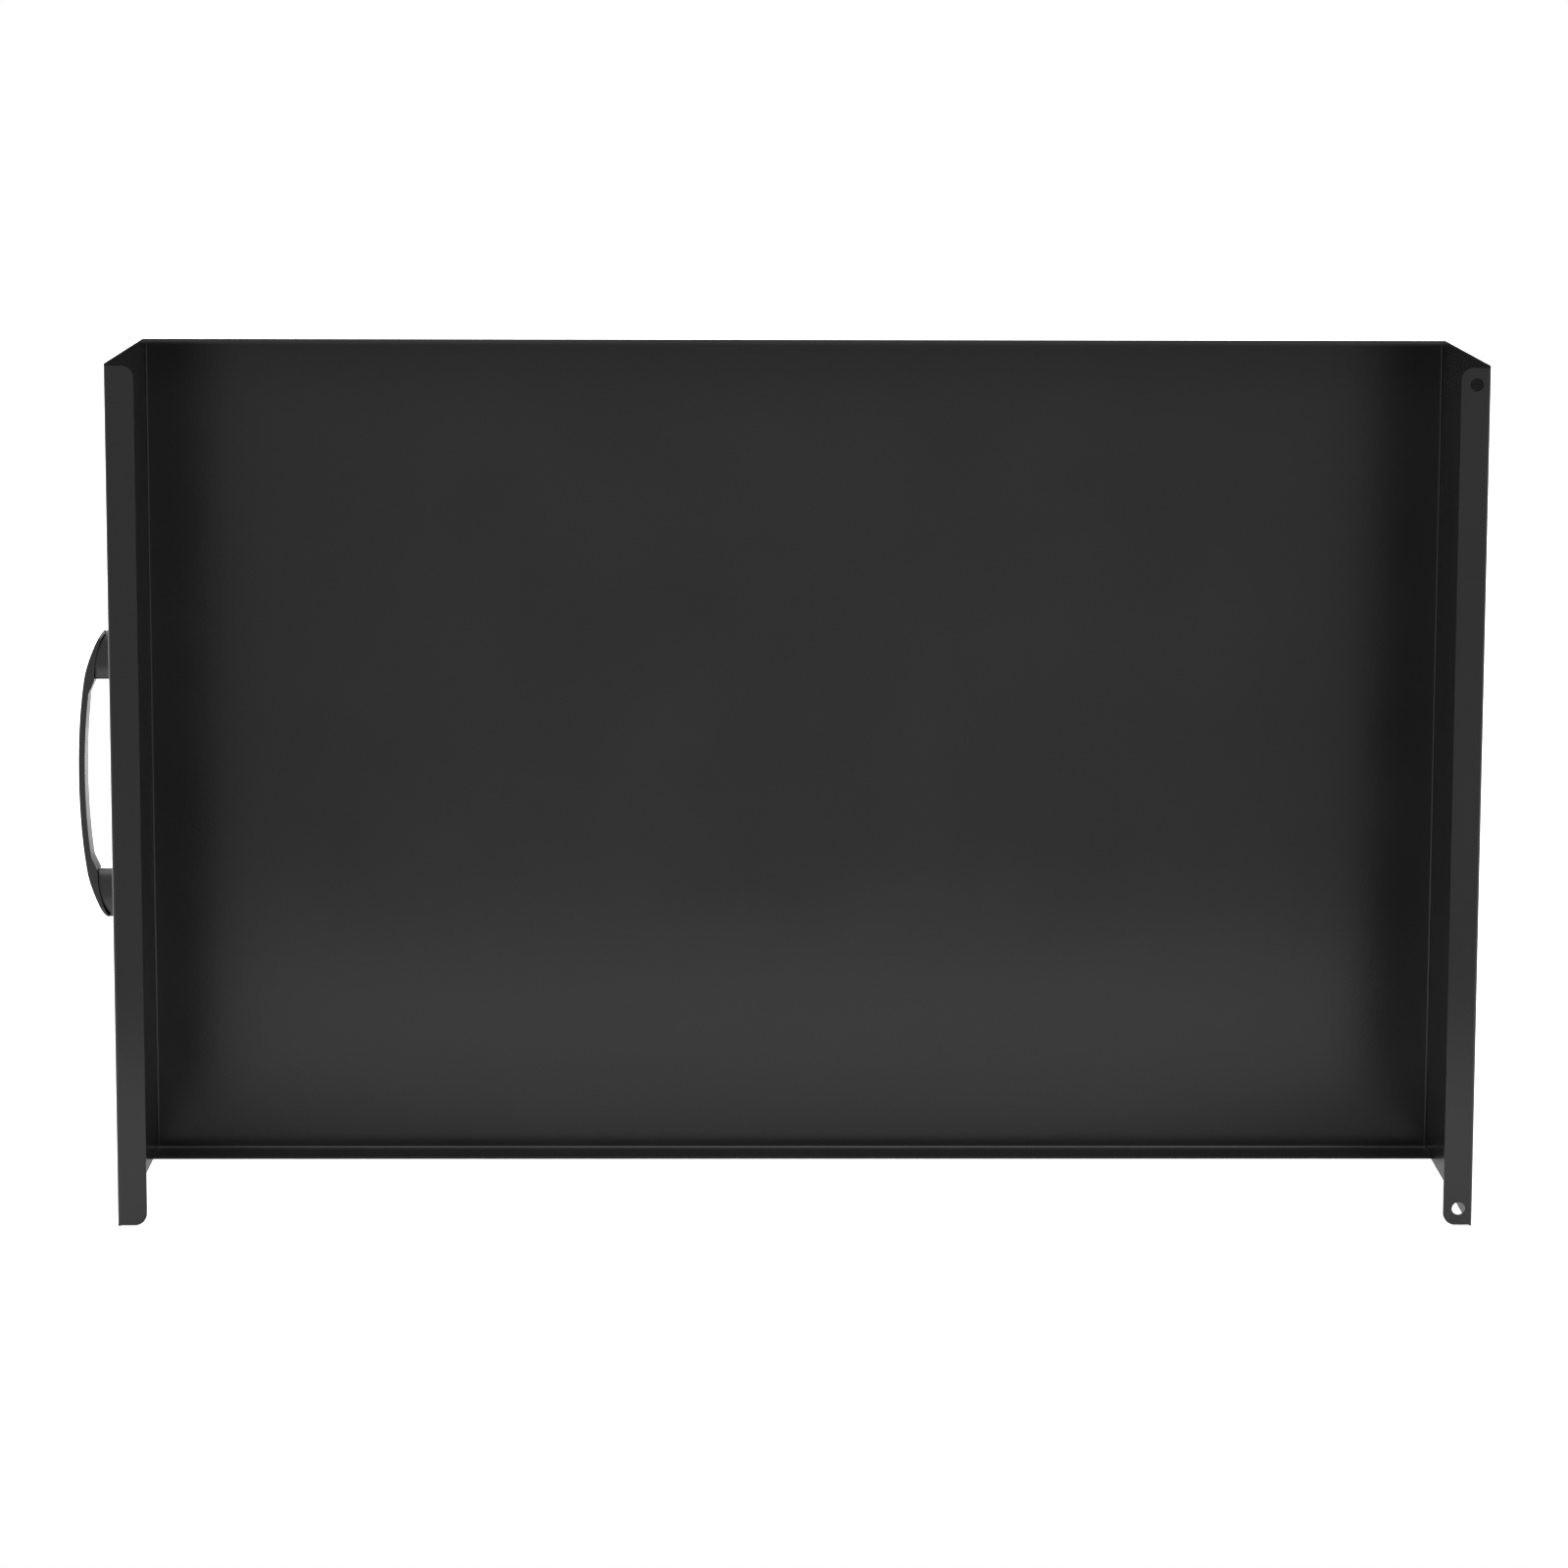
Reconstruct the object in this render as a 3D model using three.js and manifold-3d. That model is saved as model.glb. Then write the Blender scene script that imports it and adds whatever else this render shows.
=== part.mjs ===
import * as THREE from 'three';
import { mergeVertices } from 'three/addons/utils/BufferGeometryUtils.js';
import Module from 'manifold-3d';

// A folded sheet-steel screen that stands on its long lower edge, in millimetres, +Z up, open side at -Y.
// The origin is the centre of the lower lip's underside, the face that the screen stands on.

// Sheet
const width = 914;
const height = 584;
const depth = 190;
const sheetThickness = 1.5;
const bendInside = 1.5;
const lipDepth = 26;
const flangeWidth = 19.8;
const flangeInset = 1.4;
const flangeCornerRadius = 8;

// Holes in the right return flange, measured from the wing's outer face and from the wing's ends
const hangHoleDiameter = 9;
const hangHoleFromFace = 9.5;
const hangHoleFromEnd = 12.5;

// Bow handle on the left wing: heights are above the wing, reaches are along the handle from its middle
const footSpacing = 166;
const footLength = 34;
const footWidth = 13;
const strapWidth = 17;
const strapThickness = 4.2;
const handleLength = 200;
const handleHeight = 34;
const columnTop = 20;
const shoulderReach = 66;
const shoulderHeight = 29.5;
const gussetReach = 57;
const gussetRootHeight = 22.3;
const gussetTopHeight = 26.4;

// Guide points of the strap's curves: straight end, bend over the end, level stretch at the crown
const endFaceHeight = 16;
const endPull = { reach: 98.8, height: 18.2 };
const bendPull = { reach: 80, height: 27.4 };
const crownPullReach = 37;
const innerCrownPullReach = 30;

// Fasteners of one foot: M5 screw, flat washer, threaded insert
const screwDiameter = 5;
const screwReach = 16;
const screwHeadDiameter = 9.5;
const screwHeadHeight = 2.75;
const socketWidth = 3;
const socketDepth = 1.6;
const screwClearance = 6;
const flatWasherDiameter = 10;
const flatWasherThickness = 1;
const insertDiameter = 8;
const insertLength = 12;
const tipRoomLength = 6;

const fitGap = 0.3;
const roundSides = 24;
const bendSegments = 4;
const overrun = 1;

const bendOutside = bendInside + sheetThickness;
const halfWidth = width / 2;
const backFace = lipDepth / 2;
const frontFace = backFace - depth;
const backBend = backFace - bendOutside;
const frontBend = frontFace + bendOutside;
const bendX = halfWidth - bendOutside;
const wingMiddle = (backFace + frontFace) / 2;
const footInner = (footSpacing - footLength) / 2;
const footHeights = { upper: (height + footSpacing) / 2, lower: (height - footSpacing) / 2 };
const quarterTurn = Math.PI / 2;

const coatedSteel = { color: 0x1c1c1d, roughness: 0.42, metalness: 0 };
const mouldedPlastic = { color: 0x202021, roughness: 0.38, metalness: 0 };
const zincPlate = { color: 0xb4b6b8, roughness: 0.35, metalness: 1 };
const brass = { color: 0xb08d4a, roughness: 0.35, metalness: 1 };

const wasm = await Module();
wasm.setup();

function toSolid(geometry) {
  geometry.deleteAttribute('normal');
  geometry.deleteAttribute('uv');
  const merged = mergeVertices(geometry, 1e-4);
  const mesh = new wasm.Mesh({
    numProp: 3,
    vertProperties: new Float32Array(merged.attributes.position.array),
    triVerts: new Uint32Array(merged.index.array),
  });
  return new wasm.Manifold(mesh);
}

function namedMesh(name, solid, finish) {
  const { vertProperties, triVerts } = solid.getMesh();
  const geometry = new THREE.BufferGeometry();
  geometry.setAttribute('position', new THREE.BufferAttribute(vertProperties, 3));
  geometry.setIndex(new THREE.BufferAttribute(triVerts, 1));
  geometry.computeVertexNormals();
  const mesh = new THREE.Mesh(geometry, new THREE.MeshStandardMaterial(finish));
  mesh.name = name;
  return mesh;
}

function block(low, high) {
  const size = high.map((value, axis) => value - low[axis]);
  const geometry = new THREE.BoxGeometry(...size);
  geometry.translate(...low.map((value, axis) => value + size[axis] / 2));
  return toSolid(geometry);
}

// A round bar along X at the given height on the wing's middle line
function barAlongX(diameter, xStart, xEnd, z, sides = roundSides) {
  const geometry = new THREE.CylinderGeometry(diameter / 2, diameter / 2, Math.abs(xEnd - xStart), sides);
  geometry.rotateZ(quarterTurn);
  geometry.translate((xStart + xEnd) / 2, wingMiddle, z);
  return toSolid(geometry);
}

// A solid made for the upper right corner, repeated on the side and end that are asked for
function placed(solid, side, atTop) {
  const onSide = side > 0 ? solid : solid.mirror([1, 0, 0]);
  return atTop ? onSide : onSide.mirror([0, 0, 1]).translate([0, 0, height]);
}

// Right half of the folded section, seen from above: panel, wing and return flange with their round bends
function foldedHalf() {
  const shape = new THREE.Shape();
  shape.moveTo(0, backFace - sheetThickness);
  shape.lineTo(bendX, backFace - sheetThickness);
  shape.absarc(bendX, backBend, bendInside, quarterTurn, 0, true);
  shape.lineTo(halfWidth - sheetThickness, frontBend);
  shape.absarc(bendX, frontBend, bendInside, 0, -quarterTurn, true);
  shape.lineTo(halfWidth - flangeWidth, frontFace + sheetThickness);
  shape.lineTo(halfWidth - flangeWidth, frontFace);
  shape.lineTo(bendX, frontFace);
  shape.absarc(bendX, frontBend, bendOutside, -quarterTurn, 0, false);
  shape.lineTo(halfWidth, backBend);
  shape.absarc(bendX, backBend, bendOutside, 0, quarterTurn, false);
  shape.lineTo(0, backFace);
  shape.closePath();
  const options = { depth: height, bevelEnabled: false, curveSegments: bendSegments };
  return toSolid(new THREE.ExtrudeGeometry(shape, options));
}

// Extrudes a section drawn in Y and Z from one X to another
function alongX(shape, xStart, xEnd) {
  const options = { depth: xEnd - xStart, bevelEnabled: false, curveSegments: bendSegments };
  const geometry = new THREE.ExtrudeGeometry(shape, options);
  geometry.applyMatrix4(new THREE.Matrix4().set(0, 0, 1, xStart, 1, 0, 0, 0, 0, 1, 0, 0, 0, 0, 0, 1));
  return toSolid(geometry);
}

// The top lip: its section, with the bend and a stub of panel, runs from wing to wing
function topLip() {
  const stub = 2 * bendOutside;
  const shape = new THREE.Shape();
  shape.moveTo(-backFace, height - sheetThickness);
  shape.lineTo(backBend, height - sheetThickness);
  shape.absarc(backBend, height - bendOutside, bendInside, quarterTurn, 0, true);
  shape.lineTo(backFace - sheetThickness, height - stub);
  shape.lineTo(backFace, height - stub);
  shape.lineTo(backFace, height - bendOutside);
  shape.absarc(backBend, height - bendOutside, bendOutside, 0, quarterTurn, false);
  shape.lineTo(-backFace, height);
  shape.closePath();
  const reach = halfWidth - sheetThickness / 2;
  return alongX(shape, -reach, reach);
}

// The corner of the sheet that the panel's top bend rounds off past the end of the lip
function cornerOffcut() {
  const shape = new THREE.Shape();
  shape.moveTo(backFace, height - bendOutside);
  shape.absarc(backBend, height - bendOutside, bendOutside, 0, quarterTurn, false);
  shape.lineTo(backBend, height + overrun);
  shape.lineTo(backFace + overrun, height + overrun);
  shape.lineTo(backFace + overrun, height - bendOutside);
  shape.closePath();
  return alongX(shape, bendX, halfWidth + overrun);
}

// What an upper right flange loses: a strip at its end and the outside of its rounded inner corner
function flangeEndCut() {
  const edge = halfWidth - flangeWidth;
  const end = height - flangeInset;
  const arcCentre = end - flangeCornerRadius;
  const shape = new THREE.Shape();
  shape.moveTo(halfWidth + overrun, end);
  shape.lineTo(halfWidth + overrun, height + overrun);
  shape.lineTo(edge - overrun, height + overrun);
  shape.lineTo(edge - overrun, arcCentre);
  shape.lineTo(edge, arcCentre);
  shape.absarc(edge + flangeCornerRadius, arcCentre, flangeCornerRadius, Math.PI, quarterTurn, true);
  shape.closePath();
  const cutDepth = bendOutside + overrun;
  const geometry = new THREE.ExtrudeGeometry(shape, { depth: cutDepth, bevelEnabled: false, curveSegments: 8 });
  geometry.rotateX(quarterTurn);
  geometry.translate(0, frontFace + bendOutside, 0);
  return toSolid(geometry);
}

function screenSheet() {
  const half = foldedHalf();
  let sheet = half.add(half.mirror([1, 0, 0]));
  const bendRowLow = [-bendX, backBend, height - bendOutside];
  const bendRow = block(bendRowLow, [bendX, backFace + overrun, height + overrun]);
  // the lip's bend stops where the wing's bend begins, which leaves a pinhole of relief in each corner
  const lipEnd = block([bendX, backBend, height - bendOutside], [halfWidth, backFace, height]);
  const lip = topLip().subtract(lipEnd).subtract(lipEnd.mirror([1, 0, 0]));
  for (const atTop of [true, false]) {
    sheet = sheet.subtract(placed(bendRow, 1, atTop)).add(placed(lip, 1, atTop));
    for (const side of [1, -1]) {
      sheet = sheet.subtract(placed(cornerOffcut(), side, atTop));
      sheet = sheet.subtract(placed(flangeEndCut(), side, atTop));
    }
  }
  const holeRadius = hangHoleDiameter / 2;
  for (const z of [hangHoleFromEnd, height - hangHoleFromEnd]) {
    const hole = new THREE.CylinderGeometry(holeRadius, holeRadius, 4 * sheetThickness, roundSides);
    hole.translate(halfWidth - hangHoleFromFace, frontFace, z);
    sheet = sheet.subtract(toSolid(hole));
  }
  for (const z of Object.values(footHeights)) {
    sheet = sheet.subtract(barAlongX(screwClearance, -halfWidth - overrun, overrun - bendX, z));
  }
  return sheet;
}

// The bow handle's outline: its length runs along the shape's x and its height above the wing along y
function bowOutline() {
  const end = handleLength / 2;
  const innerTop = handleHeight - strapThickness;
  const shape = new THREE.Shape();
  shape.moveTo(footInner, 0);
  shape.lineTo(end, 0);
  shape.lineTo(end, endFaceHeight);
  shape.bezierCurveTo(
    endPull.reach, endPull.height, bendPull.reach, bendPull.height, shoulderReach, shoulderHeight
  );
  shape.quadraticCurveTo(crownPullReach, handleHeight, 0, handleHeight);
  shape.quadraticCurveTo(-crownPullReach, handleHeight, -shoulderReach, shoulderHeight);
  shape.bezierCurveTo(
    -bendPull.reach, bendPull.height, -endPull.reach, endPull.height, -end, endFaceHeight
  );
  shape.lineTo(-end, 0);
  shape.lineTo(-footInner, 0);
  shape.lineTo(-footInner, gussetRootHeight);
  shape.lineTo(-gussetReach, gussetTopHeight);
  shape.quadraticCurveTo(-innerCrownPullReach, innerTop, 0, innerTop);
  shape.quadraticCurveTo(innerCrownPullReach, innerTop, gussetReach, gussetTopHeight);
  shape.lineTo(footInner, gussetRootHeight);
  shape.closePath();
  return shape;
}

// Moves a geometry drawn as length, height and width of the handle into its place on the left wing
function onLeftWing(geometry) {
  const base = -halfWidth - fitGap;
  const matrix = new THREE.Matrix4();
  matrix.set(0, -1, 0, base, 0, 0, 1, wingMiddle, -1, 0, 0, height / 2, 0, 0, 0, 1);
  geometry.applyMatrix4(matrix);
  return toSolid(geometry);
}

// An oval column of the handle, from the wing up into the strap
function footColumn(centre) {
  const shape = new THREE.Shape();
  shape.absellipse(centre, 0, footLength / 2, footWidth / 2, 0, 4 * quarterTurn, false, 0);
  const options = { depth: shoulderHeight, bevelEnabled: false, curveSegments: roundSides };
  const geometry = new THREE.ExtrudeGeometry(shape, options);
  geometry.rotateX(-quarterTurn);
  return onLeftWing(geometry);
}

function handleGrip() {
  const options = { depth: strapWidth, bevelEnabled: false, curveSegments: 12 };
  const slab = new THREE.ExtrudeGeometry(bowOutline(), options);
  slab.translate(0, 0, -strapWidth / 2);
  const bow = onLeftWing(slab);
  const belowStrapLow = [-halfWidth - fitGap - columnTop, wingMiddle - strapWidth, 0];
  const belowStrap = block(belowStrapLow, [-halfWidth + overrun, wingMiddle + strapWidth, height]);
  const columns = footColumn(footSpacing / 2).add(footColumn(-footSpacing / 2)).intersect(bow);
  let grip = bow.subtract(belowStrap).add(columns);
  const holeStart = -halfWidth + overrun;
  const seatEnd = -halfWidth - fitGap - insertLength - fitGap;
  for (const z of Object.values(footHeights)) {
    grip = grip.subtract(barAlongX(insertDiameter + 2 * fitGap, holeStart, seatEnd, z));
    grip = grip.subtract(barAlongX(screwClearance, holeStart, seatEnd - tipRoomLength, z));
  }
  return grip;
}

function handleInsert(z) {
  const outerEnd = -halfWidth - fitGap;
  const innerEnd = outerEnd - insertLength;
  const bore = barAlongX(screwDiameter + 2 * fitGap, outerEnd + overrun, innerEnd - overrun, z);
  return barAlongX(insertDiameter, outerEnd, innerEnd, z).subtract(bore);
}

// The fasteners stack up on the wing's inside face, each clear of the next by the fit gap
const washerSeat = fitGap - halfWidth + sheetThickness;
const headSeat = washerSeat + flatWasherThickness + fitGap;

function flatWasher(z) {
  const top = washerSeat + flatWasherThickness;
  const hole = barAlongX(screwDiameter + 2 * fitGap, washerSeat - overrun, top + overrun, z);
  return barAlongX(flatWasherDiameter, washerSeat, top, z).subtract(hole);
}

function handleScrew(z) {
  const headTop = headSeat + screwHeadHeight;
  const shank = barAlongX(screwDiameter, headSeat + overrun, -halfWidth - screwReach, z);
  const head = barAlongX(screwHeadDiameter, headSeat, headTop, z);
  const socketDiameter = socketWidth / Math.cos(Math.PI / 6);
  const socket = barAlongX(socketDiameter, headTop - socketDepth, headTop + overrun, z, 6);
  return shank.add(head).subtract(socket);
}

const group = new THREE.Group();
group.add(namedMesh('screen_sheet', screenSheet(), coatedSteel));
group.add(namedMesh('handle_grip', handleGrip(), mouldedPlastic));
for (const [place, z] of Object.entries(footHeights)) {
  group.add(namedMesh(`handle_insert_${place}`, handleInsert(z), brass));
  group.add(namedMesh(`handle_screw_${place}`, handleScrew(z), zincPlate));
  group.add(namedMesh(`flat_washer_${place}`, flatWasher(z), zincPlate));
}

export default group;
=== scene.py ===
import math

import bmesh
import bpy
from mathutils import Matrix, Vector


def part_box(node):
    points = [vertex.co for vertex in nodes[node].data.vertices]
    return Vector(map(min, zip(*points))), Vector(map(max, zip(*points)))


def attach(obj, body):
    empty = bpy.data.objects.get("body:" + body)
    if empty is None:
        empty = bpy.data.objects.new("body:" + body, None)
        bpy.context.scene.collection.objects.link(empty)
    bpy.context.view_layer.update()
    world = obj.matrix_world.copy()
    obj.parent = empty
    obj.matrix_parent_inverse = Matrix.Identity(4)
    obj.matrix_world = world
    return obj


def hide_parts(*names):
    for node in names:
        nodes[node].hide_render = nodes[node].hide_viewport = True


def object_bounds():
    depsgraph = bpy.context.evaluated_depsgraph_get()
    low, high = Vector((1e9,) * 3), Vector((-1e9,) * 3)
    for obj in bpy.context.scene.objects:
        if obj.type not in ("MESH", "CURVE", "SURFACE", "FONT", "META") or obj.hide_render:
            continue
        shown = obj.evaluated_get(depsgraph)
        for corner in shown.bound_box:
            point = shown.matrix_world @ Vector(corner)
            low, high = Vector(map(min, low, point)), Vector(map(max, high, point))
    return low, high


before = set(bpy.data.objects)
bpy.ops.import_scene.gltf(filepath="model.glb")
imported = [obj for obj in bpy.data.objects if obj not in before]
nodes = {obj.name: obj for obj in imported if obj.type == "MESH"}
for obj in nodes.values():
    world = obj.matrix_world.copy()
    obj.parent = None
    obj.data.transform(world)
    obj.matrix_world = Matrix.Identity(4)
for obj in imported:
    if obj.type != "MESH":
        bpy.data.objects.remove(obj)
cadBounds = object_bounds()
print("frame loaded:", len(nodes), "nodes")


# small helpers shared by the pieces

def deselectAll():
    if bpy.context.object and bpy.context.object.mode != "OBJECT":
        bpy.ops.object.mode_set(mode="OBJECT")
    bpy.ops.object.select_all(action="DESELECT")


def makeActive(piece):
    deselectAll()
    piece.select_set(True)
    bpy.context.view_layer.objects.active = piece


def settle(piece):
    # puts the place into the mesh and leaves the object at the origin
    makeActive(piece)
    bpy.ops.object.transform_apply(location=True, rotation=True, scale=True)
    return piece


def addBlock(name, low, high):
    deselectAll()
    middle = [(a + b) / 2 for a, b in zip(low, high)]
    size = [b - a for a, b in zip(low, high)]
    bpy.ops.mesh.primitive_cube_add(size=1, location=middle)
    piece = bpy.context.object
    piece.name = name
    piece.scale = size
    return settle(piece)


def addBar(name, radius, start, end, axis="X", sides=48):
    # a round bar from one point to another along X, Y or Z
    deselectAll()
    turn = {"X": (0, math.pi / 2, 0), "Y": (math.pi / 2, 0, 0), "Z": (0, 0, 0)}[axis]
    middle = [(a + b) / 2 for a, b in zip(start, end)]
    length = (Vector(end) - Vector(start)).length
    bpy.ops.mesh.primitive_cylinder_add(
        vertices=sides, radius=radius, depth=length, location=middle, rotation=turn
    )
    piece = bpy.context.object
    piece.name = name
    return settle(piece)


def inEditMode(piece, faceTest=None, edgeTest=None):
    # opens edit mode with just the faces or edges that pass the test selected
    makeActive(piece)
    bpy.ops.object.mode_set(mode="EDIT")
    bpy.ops.mesh.select_mode(type="FACE" if faceTest else "EDGE")
    bpy.ops.mesh.select_all(action="DESELECT")
    shape = bmesh.from_edit_mesh(piece.data)
    if faceTest:
        for face in shape.faces:
            face.select_set(faceTest(face))
    if edgeTest:
        for edge in shape.edges:
            edge.select_set(edgeTest(edge))
    bmesh.update_edit_mesh(piece.data)


def bevelEdges(piece, edgeTest, width, segments):
    inEditMode(piece, edgeTest=edgeTest)
    bpy.ops.mesh.bevel(offset=width, offset_type="OFFSET", segments=segments, affect="EDGES")
    bpy.ops.object.mode_set(mode="OBJECT")


def combine(piece, other, operation="DIFFERENCE"):
    makeActive(piece)
    modifier = piece.modifiers.new("combine", "BOOLEAN")
    modifier.operation = operation
    modifier.solver = "EXACT"
    modifier.object = other
    bpy.ops.object.modifier_apply(modifier=modifier.name)
    bpy.data.objects.remove(other)


def softenEdges(piece, width, segments, angle=40):
    # rounds each crisp edge that is left, then keeps the flats looking flat
    makeActive(piece)
    modifier = piece.modifiers.new("soften", "BEVEL")
    modifier.width = width
    modifier.segments = segments
    modifier.limit_method = "ANGLE"
    modifier.angle_limit = math.radians(angle)
    modifier.use_clamp_overlap = True
    bpy.ops.object.modifier_apply(modifier=modifier.name)


def shadeSmooth(piece, angle=30):
    makeActive(piece)
    bpy.ops.object.shade_smooth_by_angle(angle=math.radians(angle), keep_sharp_edges=False)
    modifier = piece.modifiers.new("flats", "WEIGHTED_NORMAL")
    modifier.keep_sharp = True
    modifier.weight = 100
    bpy.ops.object.modifier_apply(modifier=modifier.name)


def alongAxis(edge, axis):
    direction = (edge.verts[1].co - edge.verts[0].co).normalized()
    return abs(direction[axis]) > 0.999


def near(a, b, room=1e-5):
    return abs(a - b) < room


# materials

def newMaterial(name):
    material = bpy.data.materials.new(name)
    material.use_nodes = True
    tree = material.node_tree
    return material, tree, tree.nodes["Principled BSDF"]


def addNoise(tree, coordinates, scale, detail, roughness=0.5):
    noise = tree.nodes.new("ShaderNodeTexNoise")
    noise.inputs["Scale"].default_value = scale
    noise.inputs["Detail"].default_value = detail
    noise.inputs["Roughness"].default_value = roughness
    tree.links.new(coordinates, noise.inputs["Vector"])
    return noise.outputs["Fac"]


def addRange(tree, value, low, high, fromLow=0.3, fromHigh=0.7):
    mapping = tree.nodes.new("ShaderNodeMapRange")
    mapping.inputs["From Min"].default_value = fromLow
    mapping.inputs["From Max"].default_value = fromHigh
    mapping.inputs["To Min"].default_value = low
    mapping.inputs["To Max"].default_value = high
    tree.links.new(value, mapping.inputs["Value"])
    return mapping.outputs["Result"]


def addTint(tree, value, dark, light):
    mix = tree.nodes.new("ShaderNodeMix")
    mix.data_type = "RGBA"
    mix.inputs["A"].default_value = (*dark, 1)
    mix.inputs["B"].default_value = (*light, 1)
    tree.links.new(value, mix.inputs["Factor"])
    return mix.outputs["Result"]


def addBump(tree, value, distance, strength, before=None):
    # distance is the relief's height, and strength is how much of it shows
    bump = tree.nodes.new("ShaderNodeBump")
    bump.inputs["Distance"].default_value = distance
    bump.inputs["Strength"].default_value = strength
    tree.links.new(value, bump.inputs["Height"])
    if before:
        tree.links.new(before, bump.inputs["Normal"])
    return bump.outputs["Normal"]


powderCoat = {
    "dark": (0.0084, 0.0084, 0.0086),
    "light": (0.0106, 0.0106, 0.0108),
    "roughness": (0.21, 0.27),
    "specular": 0.29,
    "peelScale": 420,
    "grainScale": 2600,
    "driftScale": 7,
    "peelBump": (0.00008, 0.8),
    "grainBump": (0.00002, 0.25),
}


def makePowderCoat():
    # satin coat with a slow drift in its tone, soft orange peel and a fine grain
    material, tree, shader = newMaterial("powderCoatBlack")
    place = tree.nodes.new("ShaderNodeTexCoord").outputs["Object"]
    drift = addNoise(tree, place, powderCoat["driftScale"], 3)
    peel = addNoise(tree, place, powderCoat["peelScale"], 2)
    grain = addNoise(tree, place, powderCoat["grainScale"], 3, 0.6)
    tint = addTint(tree, addRange(tree, drift, 0, 1), powderCoat["dark"], powderCoat["light"])
    tree.links.new(tint, shader.inputs["Base Color"])
    roughness = addRange(tree, drift, *powderCoat["roughness"])
    tree.links.new(roughness, shader.inputs["Roughness"])
    peelNormal = addBump(tree, peel, *powderCoat["peelBump"])
    grainNormal = addBump(tree, grain, *powderCoat["grainBump"], peelNormal)
    tree.links.new(grainNormal, shader.inputs["Normal"])
    shader.inputs["Specular IOR Level"].default_value = powderCoat["specular"]
    return material


mouldedPlastic = {
    "dark": (0.0070, 0.0070, 0.0074),
    "light": (0.0095, 0.0095, 0.0099),
    "roughness": (0.24, 0.33),
    "ior": 1.5,
    "sparkScale": 1900,
    "sparkBump": (0.00002, 0.3),
    "flowScale": 26,
}


def makePlastic():
    # fine spark-eroded texture from the mould, a little glossier where hands rub it
    material, tree, shader = newMaterial("mouldedPlasticBlack")
    place = tree.nodes.new("ShaderNodeTexCoord").outputs["Object"]
    flow = addNoise(tree, place, mouldedPlastic["flowScale"], 4)
    spark = addNoise(tree, place, mouldedPlastic["sparkScale"], 2, 0.6)
    tint = addTint(tree, addRange(tree, flow, 0, 1), mouldedPlastic["dark"], mouldedPlastic["light"])
    tree.links.new(tint, shader.inputs["Base Color"])
    tree.links.new(addRange(tree, flow, *mouldedPlastic["roughness"]), shader.inputs["Roughness"])
    tree.links.new(addBump(tree, spark, *mouldedPlastic["sparkBump"]), shader.inputs["Normal"])
    shader.inputs["IOR"].default_value = mouldedPlastic["ior"]
    return material


zincPlate = {
    "dark": (0.42, 0.43, 0.44),
    "light": (0.60, 0.61, 0.62),
    "roughness": (0.22, 0.42),
    "grainScale": 900,
    "grainBump": (0.00001, 0.25),
    "cloudScale": 160,
}


def makeZinc():
    # bright zinc plating with faint clouds from the bath
    material, tree, shader = newMaterial("zincPlate")
    place = tree.nodes.new("ShaderNodeTexCoord").outputs["Object"]
    cloud = addNoise(tree, place, zincPlate["cloudScale"], 4)
    grain = addNoise(tree, place, zincPlate["grainScale"], 3)
    tint = addTint(tree, addRange(tree, cloud, 0, 1), zincPlate["dark"], zincPlate["light"])
    tree.links.new(tint, shader.inputs["Base Color"])
    tree.links.new(addRange(tree, grain, *zincPlate["roughness"]), shader.inputs["Roughness"])
    tree.links.new(addBump(tree, grain, *zincPlate["grainBump"]), shader.inputs["Normal"])
    shader.inputs["Metallic"].default_value = 1
    return material


turnedBrass = {
    "dark": (0.40, 0.25, 0.09),
    "light": (0.62, 0.43, 0.17),
    "roughness": (0.24, 0.40),
    "grainScale": 700,
    "grainBump": (0.00001, 0.3),
    "cloudScale": 220,
}


def makeBrass():
    # bar brass, turned, with darker patches where it has dulled
    material, tree, shader = newMaterial("turnedBrass")
    place = tree.nodes.new("ShaderNodeTexCoord").outputs["Object"]
    cloud = addNoise(tree, place, turnedBrass["cloudScale"], 4)
    grain = addNoise(tree, place, turnedBrass["grainScale"], 3)
    tint = addTint(tree, addRange(tree, cloud, 0, 1), turnedBrass["dark"], turnedBrass["light"])
    tree.links.new(tint, shader.inputs["Base Color"])
    tree.links.new(addRange(tree, grain, *turnedBrass["roughness"]), shader.inputs["Roughness"])
    tree.links.new(addBump(tree, grain, *turnedBrass["grainBump"]), shader.inputs["Normal"])
    shader.inputs["Metallic"].default_value = 1
    return material


# folded sheet: panel, lips, wings and return flanges in one blank

sheet = {
    "thickness": 0.0015,
    "bendInside": 0.0015,
    "bendSegments": 8,
    "lipDepth": 0.026,
    "flangeWidth": 0.0198,
    "flangeInset": 0.0014,
    "flangeCorner": 0.008,
    "holeRadius": 0.0045,
    "holeFromFace": 0.0095,
    "holeFromEnd": 0.0125,
    "screwHoleRadius": 0.003,
    "edgeRounding": 0.0006,
    "edgeSegments": 3,
}


def foldedOutside(low, high):
    # the solid that the sheet wraps: its back and front upright edges are round bends
    piece = addBlock("screenSheet", low, high)

    def isBend(edge):
        atBack = all(near(v.co.y, high.y) for v in edge.verts)
        return alongAxis(edge, 2) or (alongAxis(edge, 0) and atBack)

    outside = sheet["bendInside"] + sheet["thickness"]
    bevelEdges(piece, isBend, outside, sheet["bendSegments"])
    return piece


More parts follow.
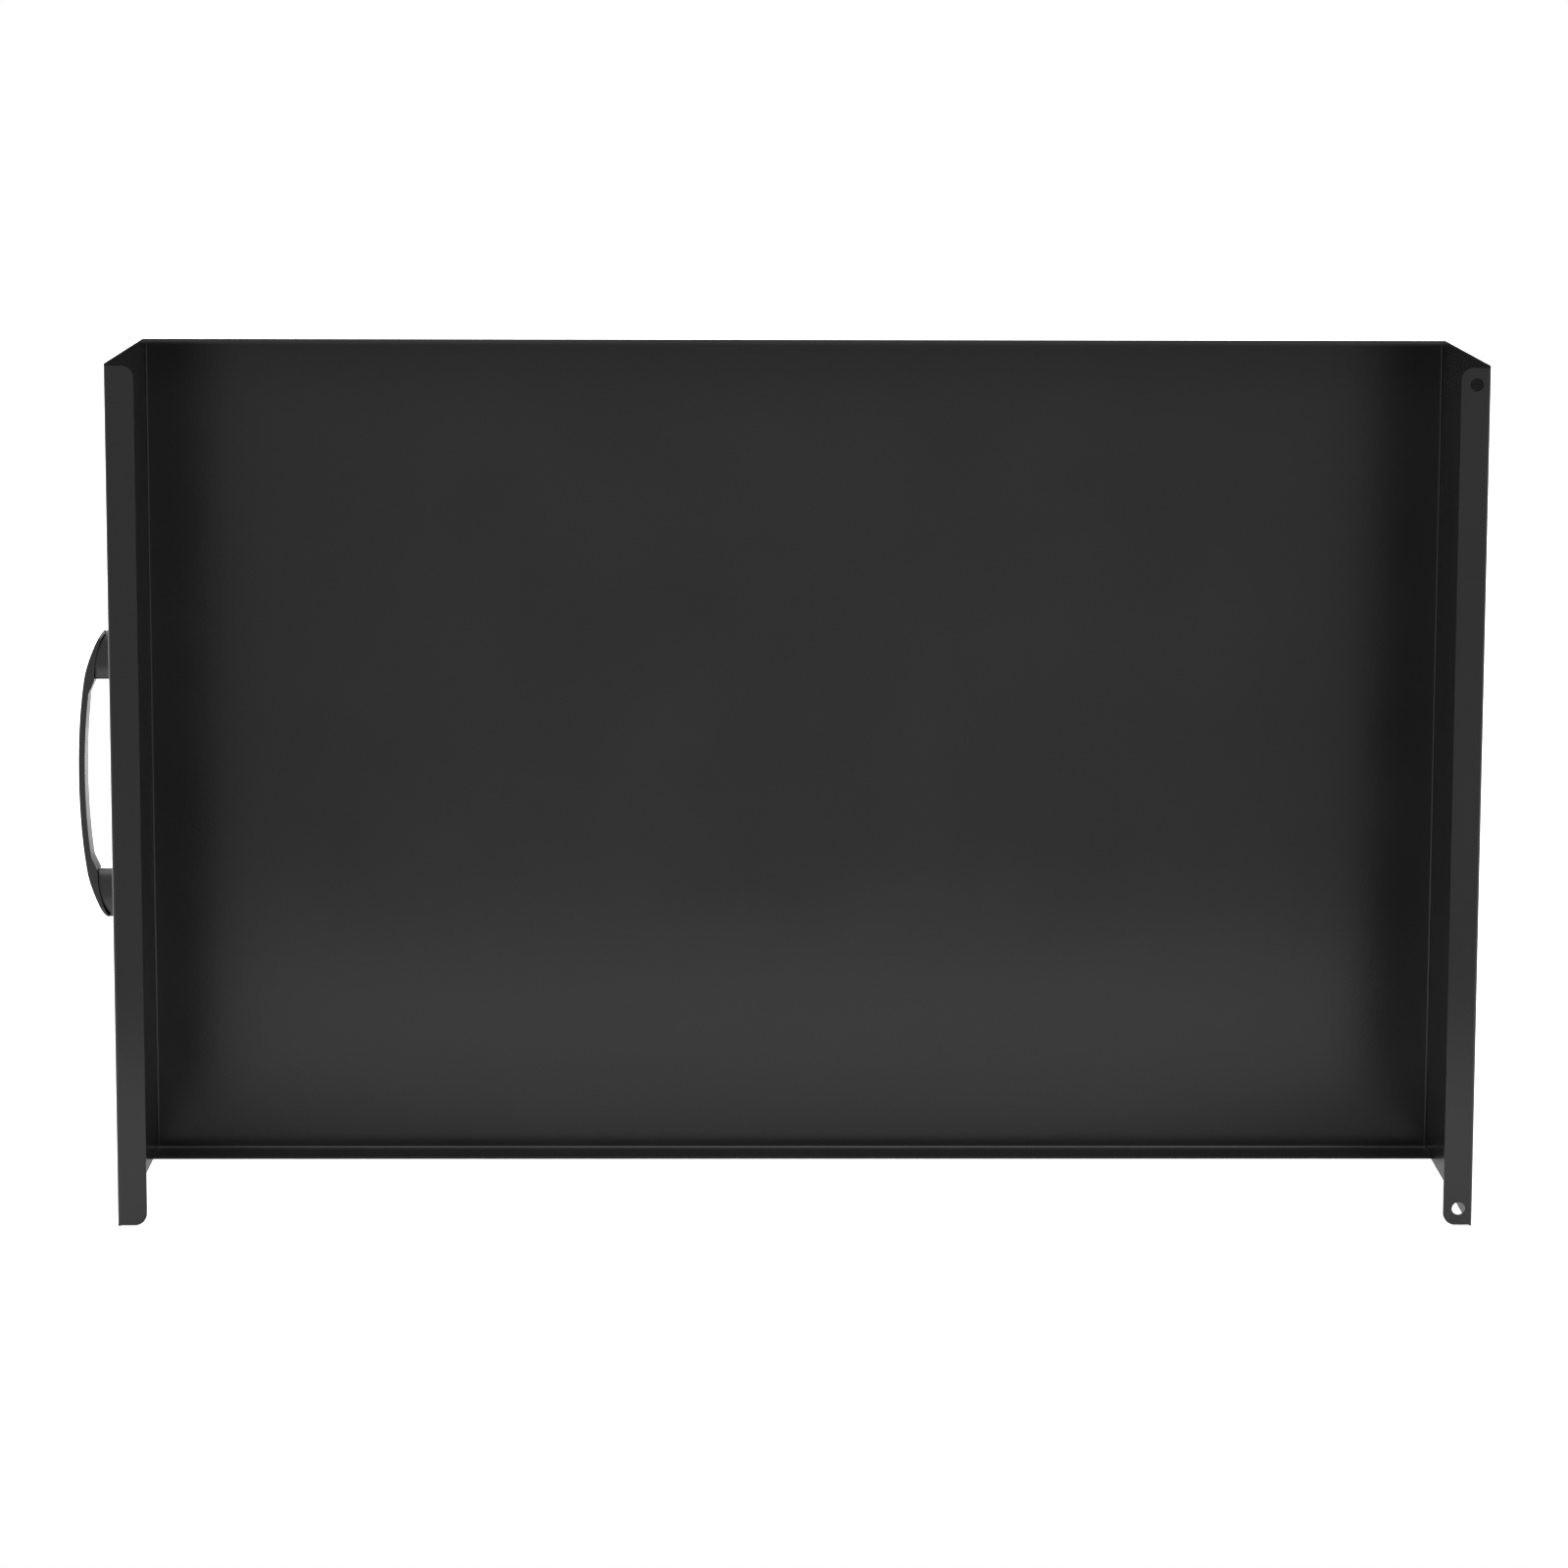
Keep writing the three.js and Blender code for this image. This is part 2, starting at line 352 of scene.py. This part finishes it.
def foldedInside(low, high):
    # the space inside the folds: between the lips it reaches the panel,
    # and in front of them it is open at both ends
    wall = sheet["thickness"]
    lipFront = high.y - sheet["lipDepth"]
    deepLow = Vector((low.x + wall, low.y + wall, low.z + wall))
    deepHigh = Vector((high.x - wall, high.y - wall, high.z - wall))
    space = addBlock("spaceInside", deepLow, deepHigh)

    def isInnerBend(edge):
        atFront = all(near(v.co.y, deepLow.y) for v in edge.verts)
        return alongAxis(edge, 2) or not atFront

    bevelEdges(space, isInnerBend, sheet["bendInside"], sheet["bendSegments"])
    past = 0.01
    through = addBlock(
        "spaceThrough",
        (deepLow.x, deepLow.y, low.z - past),
        (deepHigh.x, lipFront, high.z + past),
    )

    def isFrontBend(edge):
        return alongAxis(edge, 2) and all(near(v.co.y, deepLow.y) for v in edge.verts)

    bevelEdges(through, isFrontBend, sheet["bendInside"], sheet["bendSegments"])
    combine(space, through, "UNION")
    return space


def flangeEndCut(side, endZ, inward, low, high):
    # the strip and the rounded corner that one flange loses at one end
    past = 0.004
    radius = sheet["flangeCorner"]
    edge = side * (high.x - sheet["flangeWidth"])
    end = endZ + inward * sheet["flangeInset"]
    outerX = side * (high.x + past)
    front, back = low.y - past, low.y + sheet["bendInside"] + sheet["thickness"]
    beyond = endZ - inward * past
    cut = addBlock(
        "flangeCut",
        (min(edge - side * past, outerX), front, min(beyond, end + inward * radius)),
        (max(edge - side * past, outerX), back, max(beyond, end + inward * radius)),
    )
    centreX = edge + side * radius
    centreZ = end + inward * radius
    keep = addBlock(
        "flangeKeep",
        (min(centreX, side * (high.x + 2 * past)), front - past, min(end, end + inward * 2 * radius)),
        (max(centreX, side * (high.x + 2 * past)), back + past, max(end, end + inward * 2 * radius)),
    )
    corner = addBar(
        "flangeRound", radius, (centreX, front - past, centreZ), (centreX, back + past, centreZ), "Y", 64
    )
    combine(keep, corner, "UNION")
    combine(cut, keep)
    return cut


def makeSheet(coat):
    low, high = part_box("screen_sheet")
    piece = foldedOutside(low, high)
    combine(piece, foldedInside(low, high))
    mouth = high.x - sheet["flangeWidth"]
    past = 0.01
    combine(piece, addBlock(
        "mouth", (-mouth, low.y - past, low.z - past), (mouth, low.y + past, high.z + past)
    ))
    print("sheet folded")
    for endZ, inward in ((low.z, 1), (high.z, -1)):
        for side in (-1, 1):
            combine(piece, flangeEndCut(side, endZ, inward, low, high))
        holeX = high.x - sheet["holeFromFace"]
        holeZ = endZ + inward * sheet["holeFromEnd"]
        combine(piece, addBar(
            "hangHole", sheet["holeRadius"], (holeX, low.y - past, holeZ), (holeX, low.y + past, holeZ), "Y"
        ))
    for place in ("upper", "lower"):
        screwLow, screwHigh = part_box("handle_screw_" + place)
        y, z = (screwLow.y + screwHigh.y) / 2, (screwLow.z + screwHigh.z) / 2
        combine(piece, addBar(
            "screwHole", sheet["screwHoleRadius"], (low.x - past, y, z), (low.x + past / 2, y, z)
        ))
    print("sheet cut and drilled")
    softenEdges(piece, sheet["edgeRounding"], sheet["edgeSegments"])
    shadeSmooth(piece)
    piece.data.materials.clear()
    piece.data.materials.append(coat)
    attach(piece, "root")
    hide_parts("screen_sheet")
    print("sheet finished:", len(piece.data.polygons), "faces")


# bow handle: a bent strap with rounded ends on two oval columns, moulded in one

handle = {
    "endFace": 0.016,
    "endPull": (0.0988, 0.0182),
    "bendPull": (0.080, 0.0274),
    "shoulder": (0.066, 0.0295),
    "crownPull": 0.037,
    "strapThickness": 0.0042,
    "innerCrownPull": 0.030,
    "gussetTop": (0.057, 0.0264),
    "gussetRoot": 0.0223,
    "tailPulls": ((0.080, 0.0232), (0.0970, 0.0174)),
    "tailEnd": (0.0985, 0.0148),
    "footLength": 0.034,
    "footWidth": 0.013,
    "footLedge": 0.0004,
    "curveSteps": 20,
    "roundSides": 96,
    "insertRoom": 0.0043,
    "insertDepth": 0.0123,
    "tipRoom": 0.003,
    "tipDepth": 0.0186,
    "edgeRounding": 0.0008,
    "edgeSegments": 4,
}


def bezier(*pulls, steps=handle["curveSteps"]):
    # points along one curve that starts at its first point and ends at its last
    points = []
    for step in range(steps + 1):
        share = step / steps
        row = [Vector(pull) for pull in pulls]
        while len(row) > 1:
            row = [a.lerp(b, share) for a, b in zip(row, row[1:])]
        points.append(row[0])
    return points


def bothHalves(half):
    # an outline that ends at the handle's middle, carried on to the other end
    return half + [Vector((-point.x, point.y)) for point in reversed(half) if point.x > 1e-6]


def bowOuter(height, end):
    bend = bezier((end, handle["endFace"]), handle["endPull"], handle["bendPull"], handle["shoulder"])
    crown = bezier(handle["shoulder"], (handle["crownPull"], height), (0, height))
    return bothHalves(bend + crown[1:])


def bowInner(height, footInner):
    root = (footInner, handle["gussetRoot"])
    tail = bezier(handle["tailEnd"], *reversed(handle["tailPulls"]), root)
    top = height - handle["strapThickness"]
    return bothHalves(tail + bezier(handle["gussetTop"], (handle["innerCrownPull"], top), (0, top)))


def addSlab(name, outline, base, middle, width):
    # the outline's points are reach along the wing and height above it; extruded across the wing
    mesh = bpy.data.meshes.new(name)
    corners = [(base - height, middle.y - width / 2, middle.z + reach) for reach, height in outline]
    mesh.from_pydata(corners, [], [range(len(corners))])
    slab = bpy.data.objects.new(name, mesh)
    bpy.context.collection.objects.link(slab)
    makeActive(slab)
    bpy.ops.object.mode_set(mode="EDIT")
    bpy.ops.mesh.select_all(action="SELECT")
    bpy.ops.mesh.extrude_region_move(TRANSFORM_OT_translate={"value": (0, width, 0)})
    bpy.ops.mesh.select_all(action="SELECT")
    bpy.ops.mesh.normals_make_consistent(inside=False)
    bpy.ops.object.mode_set(mode="OBJECT")
    return slab


def addRoundedBar(name, base, top, middle, length, width):
    # a slab with half-round ends that stands on the wing
    radius = width / 2
    reach = length / 2 - radius
    slab = addBlock(
        name, (top, middle.y - radius, middle.z - reach), (base, middle.y + radius, middle.z + reach)
    )
    for side in (-1, 1):
        z = middle.z + side * reach
        end = addBar("roundEnd", radius, (top, middle.y, z), (base, middle.y, z), "X", handle["roundSides"])
        combine(slab, end, "UNION")
    return slab


def addOval(name, base, top, middle, length, width):
    # an elliptical column that stands on the wing
    place = ((base + top) / 2, middle.y, middle.z)
    deselectAll()
    bpy.ops.mesh.primitive_cylinder_add(
        vertices=handle["roundSides"], radius=0.5, depth=base - top, location=place,
        rotation=(0, math.pi / 2, 0),
    )
    oval = bpy.context.object
    oval.name = name
    oval.scale = (length, width, 1)
    return settle(oval)


def makeHandle(plastic):
    low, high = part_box("handle_grip")
    middle, base = (low + high) / 2, high.x
    height, width, length = high.x - low.x, high.y - low.y, high.z - low.z
    end, footLength = length / 2, handle["footLength"]
    outer = bowOuter(height, end)
    piece = addSlab("handleGrip", outer + bowInner(height, end - footLength)[::-1], base, middle, width)
    past = 0.01
    rounded = addRoundedBar("strapEnds", base + past, base - height - past, middle, length, width)
    combine(piece, rounded, "INTERSECT")
    print("strap bent")
    inside = bowOuter(height, end - handle["footLedge"])
    inside = [Vector((x, y - handle["footLedge"])) for x, y in inside]
    inside = [Vector((inside[0].x, 0))] + inside + [Vector((inside[-1].x, 0))]
    for side in (-1, 1):
        centre = middle + Vector((0, 0, side * (end - footLength / 2)))
        column = addOval("column", base, base - height, centre, footLength, handle["footWidth"])
        combine(column, addSlab("insideBow", inside, base, middle, 2 * width), "INTERSECT")
        combine(piece, column, "UNION")
    print("columns joined")
    for place in ("upper", "lower"):
        screwLow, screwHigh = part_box("handle_screw_" + place)
        y, z = (screwLow.y + screwHigh.y) / 2, (screwLow.z + screwHigh.z) / 2
        for hole in ("insert", "tip"):
            radius, deep = handle[hole + "Room"], handle[hole + "Depth"]
            combine(piece, addBar("insertHole", radius, (base + past, y, z), (base - deep, y, z)))
    softenEdges(piece, handle["edgeRounding"], handle["edgeSegments"])
    shadeSmooth(piece)
    piece.data.materials.clear()
    piece.data.materials.append(plastic)
    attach(piece, "root")
    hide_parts("handle_grip")
    print("handle finished:", len(piece.data.polygons), "faces")


# fasteners of one handle foot, each turned round its own axis along X

def addTurned(name, profile, middle, sides, closed=False):
    # spins (place, radius) points once round the fastener's axis
    mesh = bpy.data.meshes.new(name)
    points = [(place, middle.y, middle.z + radius) for place, radius in profile]
    links = [(index, index + 1) for index in range(len(points) - 1)]
    if closed:
        links.append((len(points) - 1, 0))
    mesh.from_pydata(points, links, [])
    piece = bpy.data.objects.new(name, mesh)
    bpy.context.collection.objects.link(piece)
    makeActive(piece)
    bpy.ops.object.mode_set(mode="EDIT")
    bpy.ops.mesh.select_all(action="SELECT")
    centre = (0, middle.y, middle.z)
    bpy.ops.mesh.spin(steps=sides, angle=2 * math.pi, center=centre, axis=(1, 0, 0))
    bpy.ops.mesh.select_all(action="SELECT")
    bpy.ops.mesh.remove_doubles(threshold=1e-6)
    bpy.ops.mesh.select_all(action="SELECT")
    bpy.ops.mesh.normals_make_consistent(inside=False)
    bpy.ops.object.mode_set(mode="OBJECT")
    return piece


def aroundAxis(point, middle):
    # how far round the fastener's axis a point is, as a share of one turn from the top, and its radius
    y, z = point.y - middle.y, point.z - middle.z
    return (math.atan2(-y, z) / (2 * math.pi)) % 1, math.hypot(y, z)


def setRadius(point, middle, radius):
    y, z = point.y - middle.y, point.z - middle.z
    scale = radius / math.hypot(y, z)
    point.y, point.z = middle.y + y * scale, middle.z + z * scale


def zigzag(share):
    # 0 at each whole number and 1 half way between
    return 1 - abs((share % 1) * 2 - 1)


screw = {
    "headHeight": 0.00275,
    "rimHeight": 0.0005,
    "topRadius": 0.0021,
    "domeSteps": 8,
    "shankRadius": 0.0025,
    "coreRadius": 0.00205,
    "pitch": 0.0008,
    "flankSlope": 1.4,
    "crestShare": 0.2,
    "ringsPerPitch": 8,
    "neck": 0.001,
    "tipBevel": 0.0006,
    "socketWidth": 0.003,
    "socketDepth": 0.0016,
    "drillPoint": 0.0005,
    "sides": 32,
    "edgeRounding": 0.00015,
}


def makeScrewHead(low, high, middle):
    seat, top = high.x - screw["headHeight"], high.x
    rim, flat = (high.z - low.z) / 2, screw["topRadius"]
    profile = [(seat, 0), (seat, rim)]
    for step in range(screw["domeSteps"] + 1):
        turn = math.pi / 2 * step / screw["domeSteps"]
        height = seat + screw["rimHeight"] + (top - seat - screw["rimHeight"]) * math.sin(turn)
        profile.append((height, flat + (rim - flat) * math.cos(turn)))
    profile.append((top, 0))
    head = addTurned("handleScrew", profile, middle, 2 * screw["sides"])
    reach = screw["socketWidth"] / 2 / math.cos(math.pi / 6)
    floor = top - screw["socketDepth"]
    past = top + reach
    outline = [(floor - screw["drillPoint"], 0), (floor, reach), (past, reach), (past, 0)]
    combine(head, addTurned("socket", outline, middle, 6))
    softenEdges(head, screw["edgeRounding"], 2, angle=30)
    return head


def makeThreadedShank(low, high, middle):
    # rings close enough to carry the thread, which a formula then cuts
    start, end = low.x, high.x - screw["headHeight"]
    crest, core, pitch = screw["shankRadius"], screw["coreRadius"], screw["pitch"]
    rings = round((end - start) / pitch * screw["ringsPerPitch"])
    profile = [(start, 0), (start, core)]
    profile += [(start + (end - start) * ring / rings, crest) for ring in range(1, rings)]
    profile += [(end + screw["rimHeight"], crest), (end + screw["rimHeight"], 0)]
    shank = addTurned("shank", profile, middle, screw["sides"])
    for vertex in shank.data.vertices:
        turn, radius = aroundAxis(vertex.co, middle)
        fromTip, fromHead = vertex.co.x - start, end - vertex.co.x
        if radius < core + 1e-5 or fromHead < screw["neck"]:
            continue
        wave = zigzag(fromTip / pitch + turn)
        depth = min(1, max(0, screw["flankSlope"] * wave - screw["crestShare"]))
        fade = min(1, (fromHead - screw["neck"]) / pitch)
        chamfer = core + (crest - core) * fromTip / screw["tipBevel"]
        setRadius(vertex.co, middle, min(crest - (crest - core) * depth * fade, chamfer))
    return shank


def makeScrew(low, high, middle):
    piece = makeScrewHead(low, high, middle)
    combine(piece, makeThreadedShank(low, high, middle), "UNION")
    return piece


washer = {"holeRadius": 0.0028, "sides": 64, "edgeRounding": 0.00015}


def makeFlatWasher(low, high, middle):
    outer, hole = (high.z - low.z) / 2, washer["holeRadius"]
    profile = [(low.x, hole), (low.x, outer), (high.x, outer), (high.x, hole)]
    piece = addTurned("flatWasher", profile, middle, washer["sides"], closed=True)
    softenEdges(piece, washer["edgeRounding"], 2)
    return piece


insert = {
    "boreRadius": 0.0028,
    "collar": 0.0012,
    "groove": 0.0009,
    "grooveDepth": 0.0006,
    "leadLength": 0.0008,
    "knurlDepth": 0.00028,
    "teeth": 30,
    "lean": 250,
    "ringsPerBand": 6,
    "sides": 120,
    "edgeRounding": 0.0001,
}


def makeInsert(low, high, middle):
    # a collar at the wing, then two knurled bands whose teeth lean opposite ways
    outer, bore = (high.z - low.z) / 2, insert["boreRadius"]
    waist = outer - insert["grooveDepth"]
    length = high.x - low.x
    band = (length - insert["collar"] - 2 * insert["groove"] - insert["leadLength"]) / 2
    profile = [(high.x, bore), (high.x, outer), (high.x - insert["collar"], outer)]
    bands, place = [], high.x - insert["collar"]
    for side in (1, -1):
        place -= insert["groove"]
        profile += [(place + insert["groove"], waist), (place, waist)]
        bands.append((place, place - band, side))
        steps = insert["ringsPerBand"]
        profile += [(place - band * ring / steps, outer) for ring in range(steps + 1)]
        place -= band
    profile += [(low.x, waist), (low.x, bore)]
    piece = addTurned("handleInsert", profile, middle, insert["sides"], closed=True)
    for vertex in piece.data.vertices:
        turn, radius = aroundAxis(vertex.co, middle)
        for start, end, side in bands:
            if radius > waist + 1e-5 and end - 1e-6 < vertex.co.x < start + 1e-6:
                tooth = zigzag(turn * insert["teeth"] + side * insert["lean"] * (start - vertex.co.x))
                setRadius(vertex.co, middle, outer - insert["knurlDepth"] * tooth)
    return piece


def makeFasteners(zinc, brass):
    # each kind is made for the upper foot and copied down to the lower one
    kinds = (
        ("handle_insert_", makeInsert, brass, "insert_brass"),
        ("handle_screw_", makeScrew, zinc, "zinc_plated_steel"),
        ("flat_washer_", makeFlatWasher, zinc, "zinc_plated_steel"),
    )
    for node, make, metal, finish in kinds:
        low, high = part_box(node + "upper")
        axis = (low + high) / 2
        screwLow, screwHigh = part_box("handle_screw_upper")
        axis.z = (screwLow.z + screwHigh.z) / 2
        upper = make(low, high, axis)
        shadeSmooth(upper)
        upper.data.materials.clear()
        upper.data.materials.append(metal)
        lower = bpy.data.objects.new(upper.name + "Lower", upper.data.copy())
        bpy.context.collection.objects.link(lower)
        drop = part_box(node + "lower")[0].z - low.z
        lower.data.transform(Matrix.Translation((0, 0, drop)))
        upper.name += "Upper"
        for piece, place in ((upper, "upper"), (lower, "lower")):
            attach(piece, "root")
            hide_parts(node + place)
        print(upper.name, len(upper.data.polygons), "faces, and its copy")


# camera and studio

camera = {
    "lens": 97.82,
    "sensor": 36,
    "shiftY": -0.1875,
    "place": (-0.0374, -2.968, 0.850),
    "pitch": 7.124,
    "yaw": -0.576,
    "roll": 0.148,
}


def makeCamera():
    deselectAll()
    bpy.ops.object.camera_add(location=camera["place"])
    eye = bpy.context.object
    eye.name = "studioCamera"
    eye.data.lens = camera["lens"]
    eye.data.sensor_width = camera["sensor"]
    eye.data.shift_y = camera["shiftY"]
    aim = Matrix.Rotation(math.radians(camera["yaw"]), 4, "Z")
    tilt = Matrix.Rotation(math.radians(90 - camera["pitch"]), 4, "X")
    lean = Matrix.Rotation(math.radians(camera["roll"]), 4, "Z")
    eye.matrix_world = Matrix.Translation(camera["place"]) @ aim @ tilt @ lean
    bpy.context.scene.camera = eye


studio = {
    "floorReach": 30,
    "floorDepth": 0.05,
    "floorGap": 0.0002,
    "floorRoughness": 0.9,
    "floorSheen": 0.1,
    "floorFront": -0.62,
    "floorColour": 0.86,
    "floorGlow": 0.60,
    "roomFront": 0.80,
    "roomBack": 0.05,
    "frontToBack": (-0.3, 0.5),
    "roomTop": 3.2,
    "sideToTop": (0.5, 0.95),
    "topLightSize": 1.0,
    "topLightPlace": (0.4, -1.2, 2.2),
    "topLightPower": 8,
}


def makeFloor():
    # runs back and sideways as far as can be seen, and ends a little way in front of the screen
    low = cadBounds[0]
    reach, front = studio["floorReach"], studio["floorFront"]
    bottom, top = low.z - studio["floorDepth"], low.z - studio["floorGap"]
    floor = addBlock("studioFloor", (-reach, front, bottom), (reach, 2 * reach, top))
    material, tree, shader = newMaterial("paleFloor")
    shader.inputs["Base Color"].default_value = (*[studio["floorColour"]] * 3, 1)
    shader.inputs["Roughness"].default_value = studio["floorRoughness"]
    shader.inputs["Specular IOR Level"].default_value = studio["floorSheen"]
    # lifts the floor to paper white for the eye alone, so the screen isn't lit by it
    seen = tree.nodes.new("ShaderNodeLightPath").outputs["Is Camera Ray"]
    tree.links.new(addRange(tree, seen, 0, studio["floorGlow"], 0, 1), shader.inputs["Emission Strength"])
    shader.inputs["Emission Color"].default_value = (1, 1, 1, 1)
    floor.data.materials.append(material)


def makeRoom():
    # white all round for the eye, while the light it gives is soft in front, strong above and dim behind
    world = bpy.data.worlds.new("studioRoom")
    world.use_nodes = True
    bpy.context.scene.world = world
    tree = world.node_tree
    direction = tree.nodes.new("ShaderNodeTexCoord").outputs["Generated"]
    split = tree.nodes.new("ShaderNodeSeparateXYZ")
    tree.links.new(direction, split.inputs["Vector"])
    depth = addRange(
        tree, split.outputs["Y"], studio["roomFront"], studio["roomBack"], *studio["frontToBack"]
    )
    height = addRange(tree, split.outputs["Z"], 0, studio["roomTop"], *studio["sideToTop"])
    total = tree.nodes.new("ShaderNodeMath")
    tree.links.new(depth, total.inputs[0])
    tree.links.new(height, total.inputs[1])
    light = tree.nodes["Background"]
    tree.links.new(total.outputs["Value"], light.inputs["Strength"])
    light.inputs["Color"].default_value = (1, 1, 1, 1)
    shown = tree.nodes.new("ShaderNodeBackground")
    shown.inputs["Color"].default_value = (1, 1, 1, 1)
    mix = tree.nodes.new("ShaderNodeMixShader")
    path = tree.nodes.new("ShaderNodeLightPath")
    tree.links.new(path.outputs["Is Camera Ray"], mix.inputs["Fac"])
    tree.links.new(light.outputs["Background"], mix.inputs[1])
    tree.links.new(shown.outputs["Background"], mix.inputs[2])
    tree.links.new(mix.outputs["Shader"], tree.nodes["World Output"].inputs["Surface"])


def makeTopLight():
    deselectAll()
    bpy.ops.object.light_add(type="AREA", location=studio["topLightPlace"])
    lamp = bpy.context.object
    lamp.name = "topSoftbox"
    lamp.data.shape = "SQUARE"
    lamp.data.size = studio["topLightSize"]
    lamp.data.energy = studio["topLightPower"]


coat, plastic, zinc, brass = makePowderCoat(), makePlastic(), makeZinc(), makeBrass()
makeSheet(coat)
makeHandle(plastic)
makeFasteners(zinc, brass)
makeCamera()
makeFloor()
makeRoom()
makeTopLight()
bpy.context.scene.view_settings.view_transform = "Standard"
